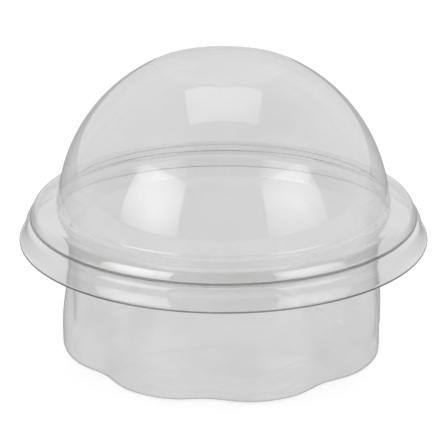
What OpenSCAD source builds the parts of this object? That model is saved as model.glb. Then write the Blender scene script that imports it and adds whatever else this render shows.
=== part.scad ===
// Clear thermoformed dessert cup with a lobed body, and its closed dome lid.
// The cup stands on z = 0, centred on the z axis, and the lid sits on its rim.

/* [Overall] */
// Diameter across the lid's lip
lip_d = 100; // [92:0.5:110]
// Height of the lid's lip above the table
lip_h = 27.8; // [25:0.1:34]

/* [Dome] */
// Distance from the dome's side out to the crease of the ring
ledge_w = 6.4; // [5.5:0.1:8]
// Height of the dome's centre above the lip
dome_h = 6; // [5:0.1:8]
// Diameter of the flat disc on top of the dome
disc_d = 33.5; // [20:0.5:50]
// Radius that softens the edge of the flat disc
disc_edge_r = 3; // [1:0.5:8]
// Thickness of the lid's sheet
lid_wall = 0.45; // [0.3:0.05:0.6]

/* [Lid ring] */
// Distance from the crease out to the edge of the lip
lip_w = 2.9; // [2.8:0.1:5]
// Height of the crease above the lip
crease_h = 5.9; // [5.5:0.1:7]
// Radius inside the crease
crease_round = 0.2; // [0.1:0.05:0.5]
// Radius of the ring's bowed side, above the crease
side_r = 6.2; // [4:0.1:9]
// Angle the side faces upwards at the crease
side_lean = 8; // [4:1:14]
// Angle the side faces upwards where the corner begins
corner_turn = 30; // [20:1:40]
// Radius of the corner between side and ledge
corner_r = 1.7; // [1.5:0.1:2.5]
// Slope of the ledge, down towards the dome
ledge_slope = 14; // [5:1:25]
// Radius of the valley between the ledge and the dome
valley_r = 1.1; // [0.6:0.1:2]
// Radius of the fold under the crease
fold_r = 2.6; // [1.8:0.1:3.1]
// Angle the fold faces upwards at the crease
fold_turn = 59; // [45:1:65]
// Angle the skirt under the fold faces upwards
skirt_lean = 9; // [7:1:14]
// Radius of the flare from the skirt to the lip
flare_r = 7; // [5:0.1:7.8]
// Angle the flare faces upwards where the lip begins
flare_turn = 34; // [26:1:36]
// Height the lip falls by towards its edge
lip_drop = 0.15; // [0.05:0.05:0.4]

/* [Cup body] */
// Number of lobes around the body
lobes = 8; // [5:1:12]
// Angle from the front to the middle of the first lobe
lobe_turn = 17.3; // [0:0.1:45]
// Diameter across the lobes
body_d = 80.9; // [78:0.1:82]
// Depth of the notches between the lobes
notch_depth = 2.4; // [1:0.1:3]
// Distance from the lip down to the neck, where the lobes fade out
neck_drop = 1.8; // [1:0.1:4]
// Height over which the tops of the lobes round in to the neck
fade_h = 11.4; // [8:0.1:14]
// Thickness of the cup's sheet
cup_wall = 0.45; // [0.3:0.05:0.6]

/* [Cup base] */
// Radius of the edge between wall and foot
edge_r = 2.5; // [1.5:0.1:4]
// Distance from the wall's outside to the inner edge of the foot
foot_w = 6.4; // [5:0.1:9]
// Width of the step up from the foot to the middle panel
step_w = 3; // [1.5:0.1:4]
// Height of the middle panel above the foot
panel_rise = 1; // [0.6:0.1:3]

/* [Cup rim] */
// Room between the cup's rim and the inside of the lid's ring
rim_clearance = 0.2; // [0.1:0.05:0.3]
// Width of the rim, from the cup's throat out to the crease
rim_w = 7.1; // [6.5:0.1:8]
// Length of the straight edge that hangs down outside the rim
rim_leg = 1; // [0.5:0.1:1.8]
// Radius between the rim and the cup's throat
throat_r = 1.3; // [0.9:0.1:2]
// Length of the throat's straight wall
throat_h = 1.6; // [0.8:0.1:3]

/* [Hidden] */
$fn = 180;

// Turn between two rows of the bends
bend_step = 4;
// Share of second harmonic that makes the lobes full and the notches narrow
lobe_fullness = 0.18;
// Margin inside the neck's wall where the lobed body is let into it
joint_margin = 0.05;
// Length of the lobed body inside the neck's wall
joint_len = 1;
// Facets around the body for each lobe
lobe_steps = 12;
// Rows of facets over the fading tops, the straight walls, an edge and the step
fade_rows = 7;
wall_rows = 3;
edge_rows = 5;
step_rows = 4;

// Unit vector that faces outwards and upwards by an angle
function facing(turn) = [cos(turn), sin(turn)];

// Direction from one point to another
function heading(start, end) = atan2(end.y - start.y, end.x - start.x);

// The ring's side ends in the crease, and the corner rounds it over into the ledge
lip_r = lip_d / 2;
crease_r = lip_r - lip_w;
side_end = [crease_r, lip_h + crease_h];
side = side_end - side_r * facing(side_lean);
corner = side + (side_r - corner_r) * facing(corner_turn);
ledge_normal = facing(90 + ledge_slope);
inwards = facing(180 + ledge_slope);

dome_r = crease_r - ledge_w;
dome = [0, lip_h + dome_h];
top_z = dome.y + sqrt(dome_r ^ 2 - (disc_d / 2) ^ 2);
disc_edge_z = top_z - disc_edge_r;
disc_edge = [sqrt((dome_r - disc_edge_r) ^ 2 - (disc_edge_z - dome.y) ^ 2), disc_edge_z];

// Centre of the valley's rounding, which touches both ledge and dome
above_corner = corner + (corner_r + valley_r) * ledge_normal - dome;
ledge_run = -above_corner * inwards
    - sqrt((above_corner * inwards) ^ 2 - above_corner * above_corner + (dome_r + valley_r) ^ 2);
valley = dome + above_corner + ledge_run * inwards;

// The fold turns out of the crease, and the skirt is as long as the lip's height needs
crease = side_end + crease_round * facing(side_lean);
fold = crease - (crease_round + fold_r) * facing(fold_turn);
skirt_normal = facing(skirt_lean);
skirt_top = fold + fold_r * skirt_normal;
lip_top = lip_h + lid_wall + lip_drop;
skirt_drop = skirt_top.y - lip_top - flare_r * (sin(flare_turn) - sin(skirt_lean));
skirt_foot = skirt_top + skirt_drop * [tan(skirt_lean), -1];

// The lip runs straight from the end of the flare to the cut edge
flare = skirt_foot + flare_r * skirt_normal;
flare_normal = facing(flare_turn);
lip_start = flare - flare_r * flare_normal;
lip_run = lip_r - lip_start.x;
lip_normal = [lip_drop, lip_run] / norm([lip_drop, lip_run]);

// The rim follows the inside of the ring, and its throat turns down into the cup
rim_gap = lid_wall + rim_clearance;
throat_x = crease_r - rim_w + throat_r;
throat_run = (corner.x + (corner_r - rim_gap - throat_r) * ledge_normal.x - throat_x) / cos(ledge_slope);
throat = corner + (corner_r - rim_gap - throat_r) * ledge_normal + throat_run * inwards;
rim_inner_r = crease_r - rim_w;
throat_foot_z = throat.y - throat_h;

body_r = body_d / 2;
neck_r = body_r - notch_depth;
neck_z = lip_h - neck_drop;
fade_z = neck_z - fade_h;
around = lobes * lobe_steps;

// Points of a bend at a depth under the sheet's face. A bend is [centre, radius,
// first, last]: its face turns from facing first to facing last, and its radius
// is below zero where the face is hollow.
function bend_rows(bend, depth) =
    let (steps = ceil(abs(bend[3] - bend[2]) / bend_step))
    [for (i = [0 : steps])
        bend[0] + (bend[1] - depth) * facing(bend[2] + (bend[3] - bend[2]) * i / steps)];

// Points of a chain of bends at a depth. What lies between two bends is straight.
function chain_rows(bends, depth) = [for (bend = bends) each bend_rows(bend, depth)];

// Outline of a sheet from the points of its face and those of its back
function sheet_outline(face, back) = concat(face, [for (i = [len(back) - 1 : -1 : 0]) back[i]]);

// Lid

lid_bends = [
    [disc_edge, disc_edge_r, 90, heading(dome, disc_edge)],
    [dome, dome_r, heading(dome, disc_edge), heading(dome, valley)],
    [valley, -valley_r, heading(dome, valley), 90 + ledge_slope],
    [corner, corner_r, 90 + ledge_slope, corner_turn],
    [side, side_r, corner_turn, side_lean],
    [crease, -crease_round, side_lean, fold_turn],
    [fold, fold_r, fold_turn, skirt_lean],
    [flare, -flare_r, skirt_lean, flare_turn],
];

module lid() {
    face = concat(
        [[0, top_z]],
        chain_rows(lid_bends, 0),
        [[lip_r, lip_h + lid_wall / lip_normal.y]]
    );
    back = concat(
        [[0, top_z - lid_wall]],
        chain_rows(lid_bends, lid_wall),
        [lip_start - lid_wall * (flare_normal + lip_normal) / (1 + flare_normal * lip_normal)],
        [[lip_r, lip_h]]
    );
    color("white", 0.4)
        rotate_extrude()
            polygon(sheet_outline(back, face));
}

// Cup

rim_bends = [
    [side, side_r - rim_gap, side_lean, corner_turn],
    [corner, corner_r - rim_gap, corner_turn, 90 + ledge_slope],
    [throat, throat_r, 90 + ledge_slope, 180],
];

// Points of the rim from its hanging edge to the neck, at a depth under its face
function rim_rows(depth) = concat(
    [side + (side_r - rim_gap - depth) * facing(side_lean) + rim_leg * [sin(side_lean), -cos(side_lean)]],
    chain_rows(rim_bends, depth),
    [
        [rim_inner_r + depth, throat_foot_z],
        [neck_r - cup_wall + depth, neck_z + joint_len],
        [neck_r - cup_wall + depth, neck_z],
    ]
);

module rim() {
    rotate_extrude()
        polygon(sheet_outline(rim_rows(0), rim_rows(cup_wall)));
}

// Share of the full lobe at an angle: 1 in the middle of a lobe, 0 in a notch
function lobe_share(angle) =
    let (wave = cos(lobes * (angle - lobe_turn)))
    (1 + wave) / 2 + lobe_fullness * (1 - wave ^ 2);

// Share of the full lobe at a height: 1 on the walls, 0 from the neck up
function fade_share(z) =
    (1 + cos(180 * min(1, max(0, (z - fade_z) / fade_h)))) / 2;

function body_radius(angle, z) =
    neck_r + notch_depth * lobe_share(angle) * fade_share(z);

// Point of the body at an angle, in from the outside by inset, at the height z
function body_point(angle, inset, z) =
    let (r = body_radius(angle, z) - inset)
    [r * sin(angle), -r * cos(angle), z];

// Rows of the sheet's surface from the neck to the panel's edge as [inset, height].
// The face is 0 for the outside of the sheet and its thickness for the inside.
function sheet_rows(face) =
    let (joint = face == 0 ? joint_margin : face - joint_margin)
    let (round = edge_r - face)
    concat(
        [[joint, neck_z + joint_len], [joint, neck_z - joint_margin]],
        [for (i = [1 : fade_rows]) [face, neck_z - fade_h * i / fade_rows]],
        [for (i = [1 : wall_rows]) [face, fade_z - (fade_z - edge_r) * i / wall_rows]],
        [for (i = [1 : edge_rows])
            let (turn = 90 * i / edge_rows)
            [face + round * (1 - cos(turn)), edge_r - round * sin(turn)]],
        [for (i = [0 : step_rows])
            let (share = i / step_rows)
            [foot_w + face / 2 + step_w * share, face + panel_rise * (1 - cos(180 * share)) / 2]]
    );

module lobed_body() {
    outside = sheet_rows(0);
    inside = sheet_rows(cup_wall);
    rows = concat(outside, inside);
    count = len(outside);
    points = concat(
        [for (row = rows)
            for (i = [0 : around - 1])
                body_point(360 * i / around, row[0], row[1])],
        [[0, 0, panel_rise], [0, 0, panel_rise + cup_wall]]
    );
    below = len(points) - 2;
    above = len(points) - 1;
    last = count - 1;
    function at(row, i) = row * around + i % around;
    function strip(upper, lower) =
        [for (i = [0 : around - 1])
            each [
                [at(upper, i), at(upper, i + 1), at(lower, i)],
                [at(upper, i + 1), at(lower, i + 1), at(lower, i)]
            ]];
    faces = concat(
        [for (row = [0 : last - 1]) each strip(row, row + 1)],
        [for (row = [0 : last - 1]) each strip(count + row + 1, count + row)],
        strip(count, 0),
        [for (i = [0 : around - 1]) [at(last, i), at(last, i + 1), below]],
        [for (i = [0 : around - 1]) [at(count + last, i + 1), at(count + last, i), above]]
    );
    polyhedron(points, faces, convexity = 6);
}

module cup() {
    color("white", 0.4) {
        rim();
        lobed_body();
    }
}

cup();
lid();
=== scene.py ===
"""Clear formed dessert cup with a lobed body and a closed dome lid, dressed and lit for its photograph.

The cup and the lid are two thin sheets. Each is one closed surface: a section of the sheet, carried
round the object's axis, with both faces of the sheet and its cut edge. Sizes are in metres, in the
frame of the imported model: z is up, and the camera stands on the side of -y.
"""

import logging
import math
from dataclasses import dataclass, field
from enum import Enum

import bpy
import numpy as np
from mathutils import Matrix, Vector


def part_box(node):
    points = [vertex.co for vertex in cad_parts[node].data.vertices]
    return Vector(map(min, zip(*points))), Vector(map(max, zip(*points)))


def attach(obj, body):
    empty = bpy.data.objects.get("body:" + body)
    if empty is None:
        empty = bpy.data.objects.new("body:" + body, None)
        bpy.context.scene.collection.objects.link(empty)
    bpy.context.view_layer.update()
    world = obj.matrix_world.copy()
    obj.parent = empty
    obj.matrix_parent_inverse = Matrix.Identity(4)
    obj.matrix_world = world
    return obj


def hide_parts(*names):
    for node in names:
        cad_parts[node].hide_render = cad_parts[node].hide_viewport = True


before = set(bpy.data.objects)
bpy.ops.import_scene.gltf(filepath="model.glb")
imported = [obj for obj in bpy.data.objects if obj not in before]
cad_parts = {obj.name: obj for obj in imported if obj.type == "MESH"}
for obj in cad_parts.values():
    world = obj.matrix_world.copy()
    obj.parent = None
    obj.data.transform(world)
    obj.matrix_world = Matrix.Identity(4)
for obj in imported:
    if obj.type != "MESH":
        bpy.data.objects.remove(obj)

log = logging.getLogger("cup")

MM = 0.001
PHOTO_SIDE = 447
SAME_POINT = 0.001 * MM
FEWEST_ON_ARC = 4
WHITE = (1.0, 1.0, 1.0, 1.0)


class Face(Enum):
    """The two faces of a formed sheet: the one that looks out or up, and the one behind it."""

    UPPER = 0
    LOWER = 1


def heading(start: np.ndarray, end: np.ndarray) -> float:
    """Gives the direction from one point of the section to another.

    Args:
        start: The point to look from, as (radius, height).
        end: The point to look at.

    Returns:
        The angle in radians, counter-clockwise from the outward direction.
    """
    return math.atan2(end[1] - start[1], end[0] - start[0])


def facing(turn: float | np.ndarray) -> np.ndarray:
    """Gives the unit vector that faces outwards and upwards by an angle.

    Args:
        turn: The angle t in radians, counter-clockwise from the outward direction, or many angles.

    Returns:
        (cos t, sin t), one row for each angle.
    """
    return np.stack([np.cos(turn), np.sin(turn)], axis=-1)


@dataclass(frozen=True)
class Bend:
    """One bend of the sheet about a centre: its upper face turns from facing first to facing last.

    The radius is that of the upper face, and it is below zero where that face is hollow.
    """

    centre: np.ndarray
    radius: float
    first: float
    last: float
    spacing: float = 0.2 * MM

    def at_depth(self, depth: float) -> np.ndarray:
        """Gives the arc at a depth under the upper face.

        A point is centre + (radius - depth) * (cos t, sin t), with t from first to last.

        Args:
            depth: 0 for the upper face, the sheet's thickness for the lower one.

        Returns:
            Points as (radius, height), in order.
        """
        length = abs((self.last - self.first) * self.radius)
        turn = np.linspace(self.first, self.last, FEWEST_ON_ARC + int(length / self.spacing))
        return self.centre + (self.radius - depth) * facing(turn)


def cut_edge(upper: np.ndarray, lower: np.ndarray, bulge: float, count: int = 7) -> np.ndarray:
    """Rounds the cut edge of a sheet from its upper face to its lower one.

    A point is middle + half * cos t + bulge * sin t * across, with t between 0 and 180 degrees. Half
    runs from the middle to the upper end, and across is the unit vector out of the sheet's edge.

    Args:
        upper: The end of the upper face.
        lower: The end of the lower face.
        bulge: How far the edge stands out past the two ends.
        count: The number of points between the two ends.

    Returns:
        Points as (radius, height), without the two ends.
    """
    half = (upper - lower) / 2
    across = np.array([half[1], -half[0]]) / np.linalg.norm(half)
    turn = np.linspace(0, math.pi, count + 2)[1:-1, None]
    return (upper + lower) / 2 + half * np.cos(turn) + bulge * np.sin(turn) * across


def straight(start: tuple[float, float], end: tuple[float, float], count: int) -> np.ndarray:
    """Spaces points evenly between two ends.

    A point is (1 - s) * start + s * end.

    Args:
        start: One end, as (radius, height).
        end: The other end.
        count: The number of points between them.

    Returns:
        Points as (radius, height), without the two ends.
    """
    share = np.linspace(0, 1, count + 2)[1:-1, None]
    return (1 - share) * np.array(start) + share * np.array(end)


def joined(*runs: np.ndarray) -> np.ndarray:
    """Puts runs of points end to end.

    Args:
        *runs: Points as (radius, height), in order.

    Returns:
        One run, with one point where two of the given runs share an end.
    """
    points = np.concatenate(runs)
    steps = np.linalg.norm(np.diff(points, axis=0), axis=1)
    return points[np.concatenate([[True], steps > SAME_POINT])]


@dataclass(frozen=True)
class Lobes:
    """The waved plan of the cup's body, which fades into a round neck.

    The middle of a lobe stands at the angle turn from the front, and depth further out than a notch.
    """

    count: int = 8
    turn: float = math.radians(17.3)
    depth: float = 2.4 * MM
    fullness: float = 0.18
    fade_from: float = 6.8 * MM
    fade_height: float = 19.2 * MM

    def share(self, angle: np.ndarray) -> np.ndarray:
        """Gives how much of the full lobe stands out at an angle round the axis.

        The share is (1 + w) / 2 + fullness * (1 - w^2), with w = cos(count * (angle - turn)).

        Args:
            angle: Angles round the axis, in radians.

        Returns:
            One share for each angle, 0 in a notch and 1 in the middle of a lobe.
        """
        wave = np.cos(self.count * (angle - self.turn))
        return (1 + wave) / 2 + self.fullness * (1 - wave**2)

    def fade(self, height: np.ndarray) -> np.ndarray:
        """Gives how much of the lobes is left at a height.

        The share is (1 + cos(180 s)) / 2, with s from 0 at fade_from to 1 a fade_height above it.

        Args:
            height: Heights above the floor, in metres.

        Returns:
            One share for each height, 1 at the foot and 0 at the neck.
        """
        rise = np.clip((height - self.fade_from) / self.fade_height, 0, 1)
        return (1 + np.cos(math.pi * rise)) / 2


def carried_round(
    section: np.ndarray, waves: np.ndarray, around: int, lobes: Lobes
) -> tuple[np.ndarray, np.ndarray]:
    """Carries a section round the axis.

    At row i and angle a the radius is r_i + waves_i * share(a), and the point is
    (radius * sin a, -radius * cos a, height_i).

    Args:
        section: Points as (radius, height), without the two ends on the axis.
        waves: How much of the lobes' depth each point takes, in metres.
        around: The number of steps round the axis.
        lobes: The plan of the lobes.

    Returns:
        The points, ring by ring, and the four corners of each face between two rings.
    """
    angle = np.arange(around) * (2 * math.pi / around)
    radius = section[:, :1] + waves[:, None] * lobes.share(angle)[None, :]
    height = np.broadcast_to(section[:, 1:], radius.shape)
    points = np.stack([radius * np.sin(angle), -radius * np.cos(angle), height], axis=2)
    row, step = np.meshgrid(np.arange(len(section) - 1), np.arange(around), indexing="ij")
    after = (step + 1) % around
    here = row * around
    beyond = here + around
    corners = [here + step, beyond + step, beyond + after, here + after]
    return points.reshape(-1, 3), np.stack(corners, axis=2).reshape(-1, 4)


def sheet_mesh(
    name: str, section: np.ndarray, waves: np.ndarray, around: int, lobes: Lobes
) -> bpy.types.Object:
    """Makes the closed mesh of a sheet whose section starts and ends on the axis.

    Args:
        name: The name of the piece.
        section: Points as (radius, height), from the upper face's middle round to the lower face's.
        waves: How much of the lobes' depth each point takes, in metres.
        around: The number of steps round the axis.
        lobes: The plan of the lobes.

    Returns:
        The piece, with smooth faces that look out of the sheet.
    """
    points, quads = carried_round(section[1:-1], waves[1:-1], around, lobes)
    poles = np.array([[0, 0, section[0, 1]], [0, 0, section[-1, 1]]])
    top, bottom = len(points), len(points) + 1
    step = np.arange(around)
    after = (step + 1) % around
    last = len(points) - around
    fan_top = np.stack([np.full(around, top), step, after], axis=1)
    fan_bottom = np.stack([np.full(around, bottom), last + after, last + step], axis=1)
    mesh = bpy.data.meshes.new(name)
    faces = fan_top.tolist() + quads.tolist() + fan_bottom.tolist()
    mesh.from_pydata(np.concatenate([points, poles]), [], faces)
    mesh.shade_smooth()
    piece = bpy.data.objects.new(name, mesh)
    bpy.context.scene.collection.objects.link(piece)
    return piece


class NodeSheet:
    """A node tree with short calls to add a node, set its sockets and link it."""

    def __init__(self, tree: bpy.types.NodeTree) -> None:
        """Keeps the tree that the calls add to.

        Args:
            tree: The tree of a material, a world, a light or a group.
        """
        self.tree = tree

    def add(self, kind: str, settings: dict | None = None, **sockets: object) -> bpy.types.Node:
        """Adds a node.

        Args:
            kind: The node's type, such as ShaderNodeMath.
            settings: The node's own properties.
            **sockets: Values or output sockets for its inputs, by name with _ for a space, or by _0, _1.

        Returns:
            The new node.
        """
        node = self.tree.nodes.new(kind)
        for key, value in (settings or {}).items():
            setattr(node, key, value)
        for key, value in sockets.items():
            socket = node.inputs[int(key[1:])] if key[1:].isdigit() else node.inputs[key.replace("_", " ")]
            if isinstance(value, bpy.types.NodeSocket):
                self.tree.links.new(value, socket)
            else:
                socket.default_value = value
        return node

    def math(self, operation: str, *values: object, clamp: bool = False) -> bpy.types.NodeSocket:
        """Adds a Math node and gives its result.

        Args:
            operation: The operation, such as ADD.
            *values: Numbers or output sockets.
            clamp: Whether the result is kept between 0 and 1.

        Returns:
            The output socket.
        """
        sockets = {f"_{i}": value for i, value in enumerate(values)}
        settings = {"operation": operation, "use_clamp": clamp}
        return self.add("ShaderNodeMath", settings, **sockets).outputs[0]

    def blend(self, share: object, start: object, end: object) -> bpy.types.NodeSocket:
        """Mixes two numbers and gives the result.

        Args:
            share: How much of the second number is taken, from 0 to 1.
            start: The number at share 0, or its output socket.
            end: The number at share 1, or its output socket.

        Returns:
            The output socket.
        """
        return self.add("ShaderNodeMix", {"data_type": "FLOAT"}, _0=share, _2=start, _3=end).outputs[0]

    def blend_colour(self, share: object, start: object, end: object) -> bpy.types.NodeSocket:
        """Mixes two colours and gives the result.

        Args:
            share: How much of the second colour is taken, from 0 to 1.
            start: The colour at share 0, or its output socket.
            end: The colour at share 1, or its output socket.

        Returns:
            The output socket.
        """
        return self.add("ShaderNodeMix", {"data_type": "RGBA"}, _0=share, _6=start, _7=end).outputs[2]

    def length(self, across: object, up: object) -> bpy.types.NodeSocket:
        """Gives the length sqrt(across^2 + up^2).

        Args:
            across: The output socket of one side.
            up: The output socket of the side at a right angle to it.

        Returns:
            The output socket.
        """
        squares = [self.math("POWER", side, 2.0) for side in (across, up)]
        return self.math("SQRT", self.math("ADD", *squares))

    def soft_step(self, value: object, low: float, high: float) -> bpy.types.NodeSocket:
        """Gives a mask that rises smoothly from 0 where the value is low to 1 where it is high.

        Args:
            value: The output socket of the value.
            low: The value where the mask leaves 0.
            high: The value where the mask reaches 1.

        Returns:
            The output socket.
        """
        smooth = {"interpolation_type": "SMOOTHSTEP"}
        step = self.add("ShaderNodeMapRange", smooth, Value=value, From_Min=low, From_Max=high)
        return step.outputs[0]


def new_group(name: str, inputs: dict[str, tuple[str, float]], outputs: list[str]) -> tuple:
    """Starts a shader node group.

    Args:
        name: The group's name.
        inputs: Name to (socket type, default value) of each input. A vector has no default.
        outputs: The names of the outputs, each a number.

    Returns:
        The group, a NodeSheet on it, its Group Input node and its Group Output node.
    """
    group = bpy.data.node_groups.new(name, "ShaderNodeTree")
    for label, (kind, value) in inputs.items():
        socket = group.interface.new_socket(name=label, in_out="INPUT", socket_type=kind)
        if kind == "NodeSocketFloat":
            socket.default_value = value
    for label in outputs:
        group.interface.new_socket(name=label, in_out="OUTPUT", socket_type="NodeSocketFloat")
    sheet = NodeSheet(group)
    return group, sheet, sheet.add("NodeGroupInput"), sheet.add("NodeGroupOutput")


@dataclass(frozen=True)
class FormingMarks:
    """The marks that forming leaves in a sheet: a soft wave, fine lines and spots that are less clear."""

    wave_scale: float = 75.0
    lines_across: float = 420.0
    lines_along: float = 30.0
    cloud_scale: float = 48.0
    haze_from: float = 0.42
    haze_full: float = 0.68

    def group(self) -> bpy.types.NodeTree:
        """Builds the marks as a node group.

        Height is a soft wave of the surface plus fine lines drawn along the walls. Haze is a mask
        of the spots where the sheet is less clear.

        Returns:
            The node group, with inputs Vector, Wave and Lines, and outputs Height and Haze.
        """
        inputs = {
            "Vector": ("NodeSocketVector", 0.0),
            "Wave": ("NodeSocketFloat", 1.0),
            "Lines": ("NodeSocketFloat", 1.0),
        }
        group, sheet, given, result = new_group("forming marks", inputs, ["Height", "Haze"])
        vector = given.outputs["Vector"]
        stretch = (self.lines_across, self.lines_across, self.lines_along)
        drawn = sheet.add("ShaderNodeMapping", {}, Vector=vector, Scale=stretch).outputs[0]
        noise = "ShaderNodeTexNoise"
        wave = sheet.add(noise, {}, Vector=vector, Scale=self.wave_scale, Detail=1.5, Roughness=0.4)
        lines = sheet.add(noise, {}, Vector=drawn, Scale=1.0, Detail=2.0)
        cloud = sheet.add(noise, {}, Vector=vector, Scale=self.cloud_scale, Detail=3.0, Roughness=0.55)
        waved = sheet.math("MULTIPLY", wave.outputs[0], given.outputs["Wave"])
        lined = sheet.math("MULTIPLY", lines.outputs[0], given.outputs["Lines"])
        haze = sheet.soft_step(cloud.outputs[0], self.haze_from, self.haze_full)
        sheet.tree.links.new(sheet.math("ADD", waved, lined), result.inputs["Height"])
        sheet.tree.links.new(haze, result.inputs["Haze"])
        return group


def cut_rim() -> bpy.types.NodeTree:
    """Builds the mask of the frosted band that a die leaves at a sheet's cut edge, which also carries
    painted shade.

    The mask is 1 where the distance from the axis is past Radius - Width and the height is under
    Height, with soft limits.

    Returns:
        The node group, with inputs Vector, Radius, Width and Height, and the output Mask.
    """
    inputs = {
        "Vector": ("NodeSocketVector", 0.0),
        "Radius": ("NodeSocketFloat", 0.05),
        "Width": ("NodeSocketFloat", 0.0003),
        "Height": ("NodeSocketFloat", 0.03),
    }
    group, sheet, given, result = new_group("cut rim", inputs, ["Mask"])
    parts = sheet.add("ShaderNodeSeparateXYZ", {}, Vector=given.outputs["Vector"])
    radius = sheet.length(parts.outputs[0], parts.outputs[1])
    inner = sheet.math("SUBTRACT", given.outputs["Radius"], given.outputs["Width"])
    past = sheet.math("DIVIDE", sheet.math("SUBTRACT", radius, inner), given.outputs["Width"], clamp=True)
    under = sheet.math("SUBTRACT", given.outputs["Height"], parts.outputs[2])
    low = sheet.math("DIVIDE", under, given.outputs["Width"], clamp=True)
    sheet.tree.links.new(sheet.math("MULTIPLY", past, low), result.inputs["Mask"])
    return group


def fold_line() -> bpy.types.NodeTree:
    """Builds the mask of a tight fold that runs round the axis, where the sheets carry painted shade.

    The mask is 2 * (1 - distance / Width), kept between 0 and 1, with the distance from the circle
    of that Radius and Height.

    Returns:
        The node group, with inputs Vector, Radius, Height and Width, and the output Mask.
    """
    inputs = {
        "Vector": ("NodeSocketVector", 0.0),
        "Radius": ("NodeSocketFloat", 0.05),
        "Height": ("NodeSocketFloat", 0.03),
        "Width": ("NodeSocketFloat", 0.0005),
    }
    group, sheet, given, result = new_group("fold line", inputs, ["Mask"])
    parts = sheet.add("ShaderNodeSeparateXYZ", {}, Vector=given.outputs["Vector"])
    radius = sheet.length(parts.outputs[0], parts.outputs[1])
    across = sheet.math("SUBTRACT", radius, given.outputs["Radius"])
    up = sheet.math("SUBTRACT", parts.outputs[2], given.outputs["Height"])
    widths_away = sheet.math("DIVIDE", sheet.length(across, up), given.outputs["Width"])
    left = sheet.math("SUBTRACT", 1.0, widths_away)
    sheet.tree.links.new(sheet.math("MULTIPLY", left, 2.0, clamp=True), result.inputs["Mask"])
    return group


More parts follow.
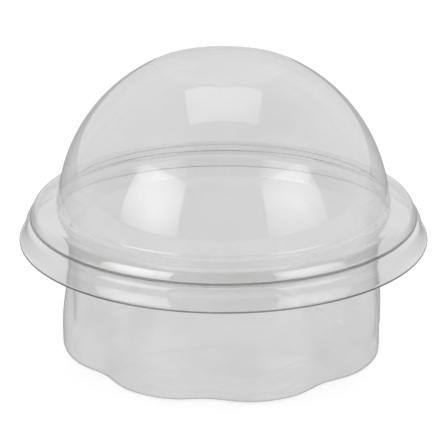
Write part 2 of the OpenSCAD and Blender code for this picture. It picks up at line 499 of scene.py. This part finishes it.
@dataclass(frozen=True)
class SheetFinish:
    """Clear formed plastic sheet: what light keeps on its way through, how clear and how even it is.

    The tint is clear, cloudy in the hazy spots, and dark in the tight fold and at the cut edge, where
    it is painted shade: the dark lines that the folded and cut sheet shows. The roughness is smooth,
    hazy in the spots and frost at the edge. The fold is a circle round the axis, and the cut edge lies
    at edge_radius, under edge_height.
    """

    name: str
    edge_radius: float
    edge_height: float
    fold_radius: float
    fold_height: float
    fold_width: float = 0.42 * MM
    # Painted shade: the dark tint of the line in the tight fold.
    painted_crease_shade: tuple[float, float, float] = (0.18, 0.181, 0.18)
    # Painted shade: the near-black tint of the line along the cut edge.
    painted_edge_shade: tuple[float, float, float] = (0.05, 0.051, 0.05)
    clear: tuple[float, float, float] = (0.985, 0.987, 0.985)
    cloudy: tuple[float, float, float] = (0.96, 0.962, 0.957)
    refraction: float = 1.57
    smooth: float = 0.012
    hazy: float = 0.06
    frost: float = 0.35
    edge_width: float = 0.28 * MM
    wave: float = 1.0
    lines: float = 0.12
    relief: float = 0.05 * MM
    relief_strength: float = 0.6
    most_mirrored: int = 3
    most_passed: int = 10

    def let_go(self, sheet: NodeSheet) -> bpy.types.NodeSocket:
        """Picks out the light that goes straight through the sheet, unbent.

        It is the light on its way from a lamp, and light that was mirrored most_mirrored times or
        went through most_passed surfaces, which would otherwise end inside the tight bends.

        Args:
            sheet: The material's nodes.

        Returns:
            The output socket, 1 for such light and 0 for the rest.
        """
        path = sheet.add("ShaderNodeLightPath")
        mirrored = sheet.math("GREATER_THAN", path.outputs["Glossy Depth"], self.most_mirrored - 0.5)
        passed = sheet.math("GREATER_THAN", path.outputs["Ray Depth"], self.most_passed - 0.5)
        spent = sheet.math("MAXIMUM", mirrored, passed)
        return sheet.math("MAXIMUM", spent, path.outputs["Is Shadow Ray"])

    def material(
        self, marks: bpy.types.NodeTree, rim: bpy.types.NodeTree, fold: bpy.types.NodeTree
    ) -> bpy.types.Material:
        """Builds the material.

        Base Color runs from clear to cloudy with the haze, and on to painted shade, a dark line, at the
        tight fold and at the cut edge. Both show only on the outer skin. Roughness runs from smooth to hazy
        and on to frost at the cut edge, and the marks bend the surface. Light that is let go keeps
        the sheet's tint, so that the object throws the faint shadow of clear plastic.

        Args:
            marks: The group of forming marks.
            rim: The group that masks the cut edge.
            fold: The group that masks a tight fold.

        Returns:
            The material.
        """
        material = bpy.data.materials.new(self.name)
        material.use_nodes = True
        material.node_tree.nodes.clear()
        sheet = NodeSheet(material.node_tree)
        place = sheet.add("ShaderNodeTexCoord").outputs["Object"]
        marked = {"Vector": place, "Wave": self.wave, "Lines": self.lines}
        formed = sheet.add("ShaderNodeGroup", {"node_tree": marks}, **marked)
        edge = {"Radius": self.edge_radius, "Width": self.edge_width, "Height": self.edge_height}
        band = sheet.add("ShaderNodeGroup", {"node_tree": rim}, Vector=place, **edge)
        line = {"Radius": self.fold_radius, "Height": self.fold_height, "Width": self.fold_width}
        crease = sheet.add("ShaderNodeGroup", {"node_tree": fold}, Vector=place, **line)

        haze = formed.outputs["Haze"]
        inward = sheet.add("ShaderNodeNewGeometry").outputs["Backfacing"]
        outer = sheet.math("SUBTRACT", 1.0, inward)
        # Painted shade in the tight fold, on the outer skin only.
        shade_in_fold = sheet.math("MULTIPLY", crease.outputs["Mask"], outer)
        # Painted shade along the cut edge, on the outer skin only.
        shade_at_cut = sheet.math("MULTIPLY", band.outputs["Mask"], outer)
        even = sheet.blend_colour(haze, (*self.clear, 1.0), (*self.cloudy, 1.0))
        crease_shaded = sheet.blend_colour(shade_in_fold, even, (*self.painted_crease_shade, 1.0))
        tint = sheet.blend_colour(shade_at_cut, crease_shaded, (*self.painted_edge_shade, 1.0))
        spots = sheet.blend(haze, self.smooth, self.hazy)
        rough = sheet.blend(band.outputs["Mask"], spots, self.frost)
        bent = {"Distance": self.relief, "Strength": self.relief_strength}
        bump = sheet.add("ShaderNodeBump", {}, Height=formed.outputs["Height"], **bent)

        plastic = sheet.add("ShaderNodeBsdfPrincipled", {}, Base_Color=tint, Roughness=rough)
        plastic.inputs["IOR"].default_value = self.refraction
        plastic.inputs["Transmission Weight"].default_value = 1.0
        sheet.tree.links.new(bump.outputs[0], plastic.inputs["Normal"])
        through = sheet.add("ShaderNodeBsdfTransparent", {}, Color=tint)
        lit = sheet.add("ShaderNodeMixShader", {}, _0=self.let_go(sheet))
        sheet.tree.links.new(plastic.outputs[0], lit.inputs[1])
        sheet.tree.links.new(through.outputs[0], lit.inputs[2])
        sheet.add("ShaderNodeOutputMaterial", {}, Surface=lit.outputs[0])
        return material


@dataclass(frozen=True)
class Ring:
    """The lid's ring that snaps over the cup: a bowed side over a crease, a corner and a sloped ledge."""

    lip_radius: float
    lip_height: float
    lip_width: float = 2.9 * MM
    crease_rise: float = 5.9 * MM
    side_radius: float = 5.6 * MM
    side_lean: float = math.radians(8)
    corner_turn: float = math.radians(30)
    corner_radius: float = 2.2 * MM
    ledge_slope: float = math.radians(-5)

    @property
    def side_end(self) -> np.ndarray:
        """The lower end of the bowed side, where the crease begins."""
        return np.array([self.lip_radius - self.lip_width, self.lip_height + self.crease_rise])

    @property
    def side(self) -> np.ndarray:
        """The centre of the bowed side."""
        return self.side_end - self.side_radius * facing(self.side_lean)

    @property
    def corner(self) -> np.ndarray:
        """The centre of the corner, which touches the bowed side from inside."""
        return self.side + (self.side_radius - self.corner_radius) * facing(self.corner_turn)

    @property
    def ledge_facing(self) -> float:
        """The angle that the ledge faces: up, and in towards the dome by its slope.

        A slope below zero turns it out instead, so that the ledge rises towards the dome.
        """
        return math.pi / 2 + self.ledge_slope

    def bends(self, gap: float) -> list[Bend]:
        """Gives the corner and the side, or their copies further in.

        Args:
            gap: How far inside the ring's upper face the bends lie.

        Returns:
            The two bends, from the ledge outwards.
        """
        corner_radius = self.corner_radius - gap
        return [
            Bend(self.corner, corner_radius, self.ledge_facing, self.corner_turn, spacing=0.1 * MM),
            Bend(self.side, self.side_radius - gap, self.corner_turn, self.side_lean),
        ]


@dataclass
class DomeLid:
    """The lid: a flat disc, a dome, the ring, a crease, a fold, and a skirt that flares into a flat lip.

    The dome's radius is that of the crease less the ledge, and its centre lies dome_rise over the
    lip's lower face. The lip's cut edge is frosted and darkened with painted shade up to lip_zone
    over that face.
    """

    ring: Ring
    disc_radius: float = 16.75 * MM
    disc_edge_radius: float = 3.0 * MM
    wall: float = 0.3 * MM
    ledge: float = 6.4 * MM
    dome_rise: float = 6.0 * MM
    valley_radius: float = 1.1 * MM
    crease_radius: float = 0.2 * MM
    fold_radius: float = 2.6 * MM
    fold_turn: float = math.radians(59)
    skirt_lean: float = math.radians(9)
    flare_radius: float = 7.0 * MM
    flare_turn: float = math.radians(34)
    lip_drop: float = 0.15 * MM
    edge_wall: float = 0.42 * MM
    edge_bulge: float = 0.1 * MM
    lip_zone: float = 2.0 * MM
    crease_middle: float = 0.75
    disc_points: int = 5
    lip_points: int = 3
    around: int = 288

    def dome_bends(self) -> list[Bend]:
        """Lays out the disc's edge, the dome and the valley, which touches the dome and the ledge.

        The valley's centre is a run along the ledge from p, the point over the corner. With w the
        way inwards along the ledge and R the distance from the dome's centre, the run is
        -p.w - sqrt((p.w)^2 - p.p + R^2).

        Returns:
            The bends in order, from the disc outwards.
        """
        ring = self.ring
        dome_radius = ring.side_end[0] - self.ledge
        dome = np.array([0.0, ring.lip_height + self.dome_rise])
        top = dome[1] + math.sqrt(dome_radius**2 - self.disc_radius**2)
        edge_height = top - self.disc_edge_radius
        edge_reach = math.sqrt((dome_radius - self.disc_edge_radius) ** 2 - (edge_height - dome[1]) ** 2)
        edge = np.array([edge_reach, edge_height])
        over = ring.corner + (ring.corner_radius + self.valley_radius) * facing(ring.ledge_facing) - dome
        inwards = facing(math.pi + ring.ledge_slope)
        along = float(over @ inwards)
        run = -along - math.sqrt(along**2 - float(over @ over) + (dome_radius + self.valley_radius) ** 2)
        valley = dome + over + run * inwards
        dome_start = heading(dome, edge)
        dome_end = heading(dome, valley)
        return [
            Bend(edge, self.disc_edge_radius, math.pi / 2, dome_start, spacing=0.25 * MM),
            Bend(dome, dome_radius, dome_start, dome_end, spacing=1.1 * MM),
            Bend(valley, -self.valley_radius, dome_end, ring.ledge_facing, spacing=0.08 * MM),
        ]

    def skirt_bends(self) -> list[Bend]:
        """Lays out the crease, the fold and the flare, with a straight skirt as long as the lip needs.

        Returns:
            The bends in order, from the ring outwards.
        """
        ring = self.ring
        crease = ring.side_end + self.crease_radius * facing(ring.side_lean)
        fold = crease - (self.crease_radius + self.fold_radius) * facing(self.fold_turn)
        skirt_top = fold + self.fold_radius * facing(self.skirt_lean)
        flare_drop = self.flare_radius * (math.sin(self.flare_turn) - math.sin(self.skirt_lean))
        drop = skirt_top[1] - (ring.lip_height + self.wall + self.lip_drop) - flare_drop
        skirt_foot = skirt_top + drop * np.array([math.tan(self.skirt_lean), -1.0])
        flare = skirt_foot + self.flare_radius * facing(self.skirt_lean)
        return [
            Bend(crease, -self.crease_radius, ring.side_lean, self.fold_turn, spacing=0.03 * MM),
            Bend(fold, self.fold_radius, self.fold_turn, self.skirt_lean),
            Bend(flare, -self.flare_radius, self.skirt_lean, self.flare_turn, spacing=0.3 * MM),
        ]

    def section(self) -> np.ndarray:
        """Gives the sheet's section from the top of the disc, out to the lip's cut edge and back inside.

        The lip thickens towards its edge, which the die presses up as it cuts.

        Returns:
            Points as (radius, height).
        """
        ring = self.ring
        bends = [*self.dome_bends(), *ring.bends(0.0), *self.skirt_bends()]
        disc_top = bends[0].at_depth(0)[0]
        faces = []
        for depth in (0.0, self.wall):
            level = disc_top[1] - depth
            pole = np.array([[0.0, level]])
            flat = straight((0.0, level), (disc_top[0], level), self.disc_points)
            arcs = [bend.at_depth(depth) for bend in bends]
            faces.append(joined(pole, flat, *arcs))
        upper, lower = faces
        reach = ring.lip_radius - self.edge_bulge
        rim_top = np.array([reach, ring.lip_height + self.edge_wall])
        rim_low = np.array([reach, ring.lip_height])
        lip_top = straight(upper[-1], rim_top, self.lip_points)
        lip_low = straight(lower[-1], rim_low, self.lip_points)
        upper = np.concatenate([upper, lip_top, rim_top[None]])
        lower = np.concatenate([lower, lip_low, rim_low[None]])
        return np.concatenate([upper, cut_edge(rim_top, rim_low, self.edge_bulge), lower[::-1]])

    def build(self) -> bpy.types.Object:
        """Makes the lid's mesh, round the axis and without lobes."""
        section = self.section()
        return sheet_mesh("dome_lid", section, np.zeros(len(section)), self.around, Lobes())

    def finish(self) -> SheetFinish:
        """Gives the lid's finish, with painted shade at its cut edge on the lip and in its tight fold in
        the crease.
        """
        crease = self.ring.side_end
        return SheetFinish(
            name="clear_lid_sheet",
            edge_radius=self.ring.lip_radius,
            edge_height=self.ring.lip_height + self.lip_zone,
            fold_radius=float(crease[0]) + self.crease_middle * self.crease_radius,
            fold_height=float(crease[1]),
        )

    def dress(self, piece: bpy.types.Object, finish: bpy.types.Material) -> None:
        """Gives the lid its finish and its place in the frame.

        Args:
            piece: The lid's mesh.
            finish: The clear sheet.
        """
        piece.data.materials.append(finish)
        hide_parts("lid")
        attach(piece, "lid")


@dataclass
class LobedCup:
    """The cup: a stepped base, a lobed wall that fades into a round neck, and a rim inside the lid's ring.

    Lengths in the base are measured inwards from the neck: first the foot that it stands on, then
    the step up to the panel. The leg is the rim's hanging edge, which is darkened with painted shade.
    """

    ring: Ring
    neck_radius: float = 38.05 * MM
    neck_height: float = 28.5 * MM
    wall: float = 0.28 * MM
    edge_radius: float = 2.5 * MM
    foot: float = 6.4 * MM
    step: float = 7.0 * MM
    panel_rise: float = 1.0 * MM
    gap: float = 0.65 * MM
    rim_width: float = 7.1 * MM
    leg: float = 1.0 * MM
    throat_radius: float = 1.3 * MM
    throat_wall: float = 1.6 * MM
    neck_straight: float = 1.0 * MM
    neck_bend: float = 2.0 * MM
    edge_bulge: float = 0.1 * MM
    # Painted shade: a darker tint along the rim's hanging edge, under the lid's crease.
    painted_leg_shade: tuple[float, float, float] = (0.7, 0.702, 0.7)
    drawn_lines: float = 0.2
    panel_points: int = 8
    step_points: int = 18
    foot_points: int = 4
    edge_points: int = 14
    wall_points: int = 44
    leg_points: int = 2
    around: int = 288
    lobes: Lobes = field(default_factory=Lobes)

    def base(self, face: Face) -> np.ndarray:
        """Gives one face of the base from the middle panel's edge to the foot of the wall.

        The step is half a cosine: height = rise * (1 - cos(180 s)) / 2 over its width. The foot's
        edge is a quarter circle.

        Args:
            face: UPPER for the face inside the cup, LOWER for the one it stands on.

        Returns:
            Points as (radius in a notch, height).
        """
        depth = 0.0 if face is Face.LOWER else self.wall
        share = np.linspace(1, 0, self.step_points)
        step_in = self.foot + depth / 2 + self.step * share
        step_up = depth + self.panel_rise * (1 - np.cos(math.pi * share)) / 2
        turn = np.linspace(math.pi / 2, 0, self.edge_points)
        bend = self.edge_radius - depth
        edge_in = depth + bend * (1 - np.cos(turn))
        edge_up = self.edge_radius - bend * np.sin(turn)
        foot = straight((self.foot + depth / 2, depth), (self.edge_radius, depth), self.foot_points)
        inset = np.concatenate([step_in, foot[:, 0], edge_in])
        height = np.concatenate([step_up, foot[:, 1], edge_up])
        return np.stack([self.neck_radius - inset, height], axis=1)

    def rim_bends(self) -> list[Bend]:
        """Lays out the bends from the neck over the throat and the rim to its hanging edge.

        The rim is the ring's outline a gap further in. Its ledge runs in to the throat's bend, and
        the cone under the throat meets the neck and the throat's wall in two equal soft bends.

        Returns:
            The bends in order, from the neck outwards.
        """
        ring = self.ring
        inside = ring.side_end[0] - self.rim_width
        above = ring.corner_radius - self.gap - self.throat_radius
        start = ring.corner + above * facing(ring.ledge_facing)
        run = (start[0] - inside - self.throat_radius) / math.cos(ring.ledge_slope)
        throat = start + run * facing(math.pi + ring.ledge_slope)
        foot = np.array([self.neck_radius - self.wall, self.neck_height + self.neck_straight])
        head = np.array([inside, throat[1] - self.throat_wall])
        lean = math.pi / 2 - heading(foot, head)
        reach = self.neck_bend * math.tan(lean / 2)
        low = foot + np.array([self.neck_bend, -reach])
        high = head + np.array([-self.neck_bend, reach])
        return [
            Bend(low, self.neck_bend, math.pi, math.pi - lean, spacing=0.15 * MM),
            Bend(high, -self.neck_bend, math.pi - lean, math.pi, spacing=0.15 * MM),
            Bend(throat, self.throat_radius, math.pi, ring.ledge_facing, spacing=0.1 * MM),
            *ring.bends(self.gap),
        ]

    def section(self) -> np.ndarray:
        """Gives the sheet's section in a notch, from the panel's top, over the rim and back under the foot.

        Returns:
            Points as (radius, height).
        """
        hang = (self.leg - self.edge_bulge) * facing(self.ring.side_lean - math.pi / 2)
        faces = []
        for face, depth in ((Face.UPPER, 0.0), (Face.LOWER, self.wall)):
            base = self.base(face)
            pole = np.array([[0.0, base[0, 1]]])
            panel = straight((0.0, base[0, 1]), tuple(base[0]), self.panel_points)
            neck = (self.neck_radius - self.wall + depth, self.neck_height)
            wall = straight(tuple(base[-1]), neck, self.wall_points)
            rim = joined(*(bend.at_depth(depth) for bend in self.rim_bends()))
            leg_end = rim[-1] + hang
            leg = straight(tuple(rim[-1]), tuple(leg_end), self.leg_points)
            faces.append(joined(pole, panel, base, wall, rim, leg, leg_end[None]))
        upper, lower = faces
        edge = cut_edge(upper[-1], lower[-1], self.edge_bulge)
        return np.concatenate([upper, edge, lower[::-1]])

    def waves(self, section: np.ndarray) -> np.ndarray:
        """Gives how much of the lobes' depth each point of the section takes.

        It is the depth times the fade at that height, and inside the panel's edge it shrinks with
        the radius down to nothing at the axis.

        Args:
            section: Points as (radius in a notch, height).

        Returns:
            One length for each point.
        """
        panel = self.neck_radius - self.foot - self.step - self.wall
        return self.lobes.depth * self.lobes.fade(section[:, 1]) * np.clip(section[:, 0] / panel, 0, 1)

    def build(self) -> bpy.types.Object:
        """Makes the cup's mesh, round the axis and with its lobes."""
        section = self.section()
        return sheet_mesh("lobed_cup", section, self.waves(section), self.around, self.lobes)

    def finish(self, reach: float) -> SheetFinish:
        """Gives the cup's finish, with painted shade along the rim's hanging edge.

        Args:
            reach: The radius of the rim's outermost point.

        Returns:
            The finish.
        """
        crease_height = float(self.ring.side_end[1])
        return SheetFinish(
            name="clear_cup_sheet",
            edge_radius=reach,
            edge_height=crease_height - self.leg / 2,
            fold_radius=reach,
            fold_height=crease_height - self.leg,
            painted_crease_shade=self.painted_leg_shade,
            painted_edge_shade=self.painted_leg_shade,
            lines=self.drawn_lines,
        )

    def dress(self, piece: bpy.types.Object, finish: bpy.types.Material) -> None:
        """Gives the cup its finish and its place in the frame.

        Args:
            piece: The cup's mesh.
            finish: The clear sheet.
        """
        piece.data.materials.append(finish)
        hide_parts("cup")
        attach(piece, "cup")


@dataclass
class PaperFloor:
    """The pale paper under the object. It is burnt out to white only where the camera sees it directly.

    The cup stands a hair above it, so that air lies between the paper and the clear foot. Through
    the sheets, glow_share of what shows is an even glow, as on a light table, and the rest is the
    paper as the lamps light it, with the object's shadow.
    """

    side: float = 12.0
    drop: float = 0.1 * MM
    paper: float = 0.8
    shade: float = 0.97
    mottle_scale: float = 14.0
    roughness: float = 0.9
    lift: float = 0.45
    glow: float = 0.765
    glow_share: float = 0.75

    def build(self) -> bpy.types.Object:
        """Makes the sheet of paper, a square centred under the object."""
        half = self.side / 2
        corners = np.array([[-half, -half], [half, -half], [half, half], [-half, half]])
        corners = np.column_stack([corners, np.full(4, -self.drop)])
        mesh = bpy.data.meshes.new("paper_floor")
        mesh.from_pydata(corners, [], [[0, 1, 2, 3]])
        floor = bpy.data.objects.new("paper_floor", mesh)
        bpy.context.scene.collection.objects.link(floor)
        return floor

    def dress(self, floor: bpy.types.Object) -> None:
        """Gives the paper its matt finish, with a faint mottle, and the lift that burns it out.

        Args:
            floor: The sheet of paper.
        """
        material = bpy.data.materials.new("floor_paper")
        material.use_nodes = True
        material.node_tree.nodes.clear()
        sheet = NodeSheet(material.node_tree)
        place = sheet.add("ShaderNodeTexCoord").outputs["Object"]
        mottle = sheet.add("ShaderNodeTexNoise", {}, Vector=place, Scale=self.mottle_scale, Detail=3.0)
        light = self.paper
        dark = self.shade * self.paper
        colour = sheet.blend_colour(mottle.outputs[0], (light, light, light, 1.0), (dark, dark, dark, 1.0))
        path = sheet.add("ShaderNodeLightPath")
        lift = sheet.math("MULTIPLY", path.outputs["Is Camera Ray"], self.lift)
        paper = sheet.add("ShaderNodeBsdfPrincipled", {}, Base_Color=colour, Roughness=self.roughness)
        paper.inputs["Specular IOR Level"].default_value = 0.0
        paper.inputs["Emission Color"].default_value = WHITE
        sheet.tree.links.new(lift, paper.inputs["Emission Strength"])
        glow = sheet.add("ShaderNodeEmission", {}, Strength=self.glow)
        share = sheet.math("MULTIPLY", path.outputs["Is Transmission Ray"], self.glow_share)
        seen = sheet.add("ShaderNodeMixShader", {}, _0=share, _1=paper.outputs[0], _2=glow.outputs[0])
        sheet.add("ShaderNodeOutputMaterial", {}, Surface=seen.outputs[0])
        floor.data.materials.append(material)


@dataclass
class SoftBox:
    """A rectangular studio light with a brighter middle, which the sheets mirror.

    Matt surfaces receive its light only if lights_matt is set. A box whose centre is within
    overhead of the axis faces down, and any other faces the axis.
    """

    name: str
    centre: tuple[float, float, float]
    width: float
    height: float
    level: float
    falloff: float = 0.9
    lights_matt: bool = True
    overhead: float = 0.3

    def build(self) -> bpy.types.Object:
        """Makes the light.

        The level is the radiance at the middle. It falls with the square of the distance from the
        middle, down to 1 - falloff in the corners.

        Returns:
            The light.
        """
        data = bpy.data.lights.new(self.name, "AREA")
        data.shape = "RECTANGLE"
        data.size = self.width
        data.size_y = self.height
        data.energy = self.level * math.pi * self.width * self.height
        data.use_nodes = True
        data.node_tree.nodes.clear()
        sheet = NodeSheet(data.node_tree)
        place = sheet.add("ShaderNodeNewGeometry").outputs["Parametric"]
        parts = sheet.add("ShaderNodeSeparateXYZ", {}, Vector=place)
        sides = [sheet.math("POWER", sheet.math("SUBTRACT", parts.outputs[i], 0.5), 2.0) for i in (0, 1)]
        drop = sheet.math("MULTIPLY", sheet.math("ADD", *sides), 2 * self.falloff)
        strength = sheet.math("SUBTRACT", 1.0, drop)
        light = sheet.add("ShaderNodeEmission", {}, Strength=strength)
        sheet.add("ShaderNodeOutputLight", {}, Surface=light.outputs[0])
        lamp = bpy.data.objects.new(self.name, data)
        lamp.location = self.centre
        across, along, _ = self.centre
        if math.hypot(across, along) > self.overhead:
            turn = math.atan2(-along, -across) - math.pi / 2
            lamp.rotation_euler = (math.pi / 2, 0.0, turn)
        lamp.visible_camera = False
        lamp.visible_diffuse = self.lights_matt
        bpy.context.scene.collection.objects.link(lamp)
        return lamp


@dataclass
class Studio:
    """Two softboxes in front at the sides, one overhead, and a room that is pale behind and dark elsewhere.

    The overhead box's width, depth and place are shares of its height over the floor.
    """

    distance: float = 0.8
    turn: float = math.radians(51)
    half_width: float = math.radians(21.5)
    top: float = math.radians(39.5)
    foot: float = 0.04
    left_level: float = 2.15
    right_level: float = 1.5
    top_level: float = 0.95
    top_height: float = 0.95
    top_width: float = 0.68
    top_depth: float = 0.55
    top_back: float = 0.14
    top_falloff: float = 0.3
    fill: float = 0.83
    paper: float = 0.76
    room: float = 0.15
    paper_from: float = -0.2
    paper_full: float = 0.85

    def softboxes(self) -> list[SoftBox]:
        """Lays out the lights.

        A side box stands upright on the floor: it spans the angle 2 * half_width seen from the
        object, and its top edge is seen at the angle top above the horizon.

        Returns:
            The left, right and overhead lights.
        """
        width = 2 * self.distance * math.tan(self.half_width)
        head = self.distance * math.tan(self.top)
        middle = (head + self.foot) / 2
        aside = self.distance * math.sin(self.turn)
        front = -self.distance * math.cos(self.turn)
        boxes = []
        sides = (("softbox_left", -aside, self.left_level), ("softbox_right", aside, self.right_level))
        for name, across, level in sides:
            place = (across, front, middle)
            boxes.append(SoftBox(name, place, width, head - self.foot, level, lights_matt=False))
        over = (0.0, self.top_back * self.top_height, self.top_height)
        width = self.top_width * self.top_height
        depth = self.top_depth * self.top_height
        boxes.append(SoftBox("softbox_top", over, width, depth, self.top_level, self.top_falloff))
        return boxes

    def build_world(self) -> None:
        """Builds the room.

        The camera sees it white. Light that only passes through the sheets sees the pale paper, and
        light that a sheet mirrors sees a dark room with the paper behind the object. Matt surfaces
        get an even fill.
        """
        world = bpy.data.worlds.new("studio")
        world.use_nodes = True
        world.node_tree.nodes.clear()
        bpy.context.scene.world = world
        sheet = NodeSheet(world.node_tree)
        toward = sheet.add("ShaderNodeTexCoord").outputs["Generated"]
        parts = sheet.add("ShaderNodeSeparateXYZ", {}, Vector=toward)
        behind = sheet.soft_step(parts.outputs[1], self.paper_from, self.paper_full)
        mirrored = sheet.blend(behind, self.room, self.paper)
        path = sheet.add("ShaderNodeLightPath")
        has_mirror = sheet.math("GREATER_THAN", path.outputs["Glossy Depth"], 0.5)
        plain = sheet.blend(path.outputs["Is Transmission Ray"], self.fill, self.paper)
        seen = sheet.blend(has_mirror, plain, mirrored)
        level = sheet.blend(path.outputs["Is Camera Ray"], seen, 1.0)
        glow = sheet.add("ShaderNodeBackground", {}, Strength=level, Color=WHITE)
        sheet.add("ShaderNodeOutputWorld", {}, Surface=glow.outputs[0])

    def build(self) -> list[bpy.types.Object]:
        """Builds the room and its lights.

        Returns:
            The lights.
        """
        self.build_world()
        return [box.build() for box in self.softboxes()]


@dataclass
class PhotoCamera:
    """The camera of the photograph, which looks along +y and down on the object.

    The focal length is in pixels of the photograph.
    """

    elevation: float = math.radians(20.86)
    distance: float = 0.5
    target_height: float = 30.36 * MM
    focal_pixels: float = 2035.0
    sensor: float = 36.0
    nearest: float = 0.01

    def build(self) -> bpy.types.Object:
        """Makes the camera and gives it to the scene.

        It stands at target + distance * (0, -cos e, sin e), turned down by the elevation e.

        Returns:
            The camera.
        """
        data = bpy.data.cameras.new("photo_camera")
        data.sensor_width = self.sensor
        data.lens = self.sensor * self.focal_pixels / PHOTO_SIDE
        data.clip_start = self.nearest
        camera = bpy.data.objects.new("photo_camera", data)
        back = -self.distance * math.cos(self.elevation)
        up = self.target_height + self.distance * math.sin(self.elevation)
        camera.location = (0.0, back, up)
        camera.rotation_euler = (math.pi / 2 - self.elevation, 0.0, 0.0)
        bpy.context.scene.collection.objects.link(camera)
        bpy.context.scene.camera = camera
        return camera


def main() -> None:
    """Builds the studio and the two sheets in order."""
    logging.basicConfig(level=logging.INFO, format="%(message)s")
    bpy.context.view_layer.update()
    bpy.context.scene.view_settings.view_transform = "Standard"

    PhotoCamera().build()
    lamps = Studio().build()
    log.info("studio: %d lights", len(lamps))
    paper = PaperFloor()
    paper.dress(paper.build())

    groups = (FormingMarks().group(), cut_rim(), fold_line())
    lid_low, lid_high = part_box("lid")
    cup_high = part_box("cup")[1]
    ring = Ring(lip_radius=float(lid_high[0]), lip_height=float(lid_low[2]))

    lid = DomeLid(ring)
    lid_piece = lid.build()
    lid.dress(lid_piece, lid.finish().material(*groups))
    log.info("%s: %d faces", lid_piece.name, len(lid_piece.data.polygons))

    cup = LobedCup(ring)
    cup_piece = cup.build()
    cup.dress(cup_piece, cup.finish(float(cup_high[0])).material(*groups))
    log.info("%s: %d faces", cup_piece.name, len(cup_piece.data.polygons))


if __name__ == "__main__":
    main()
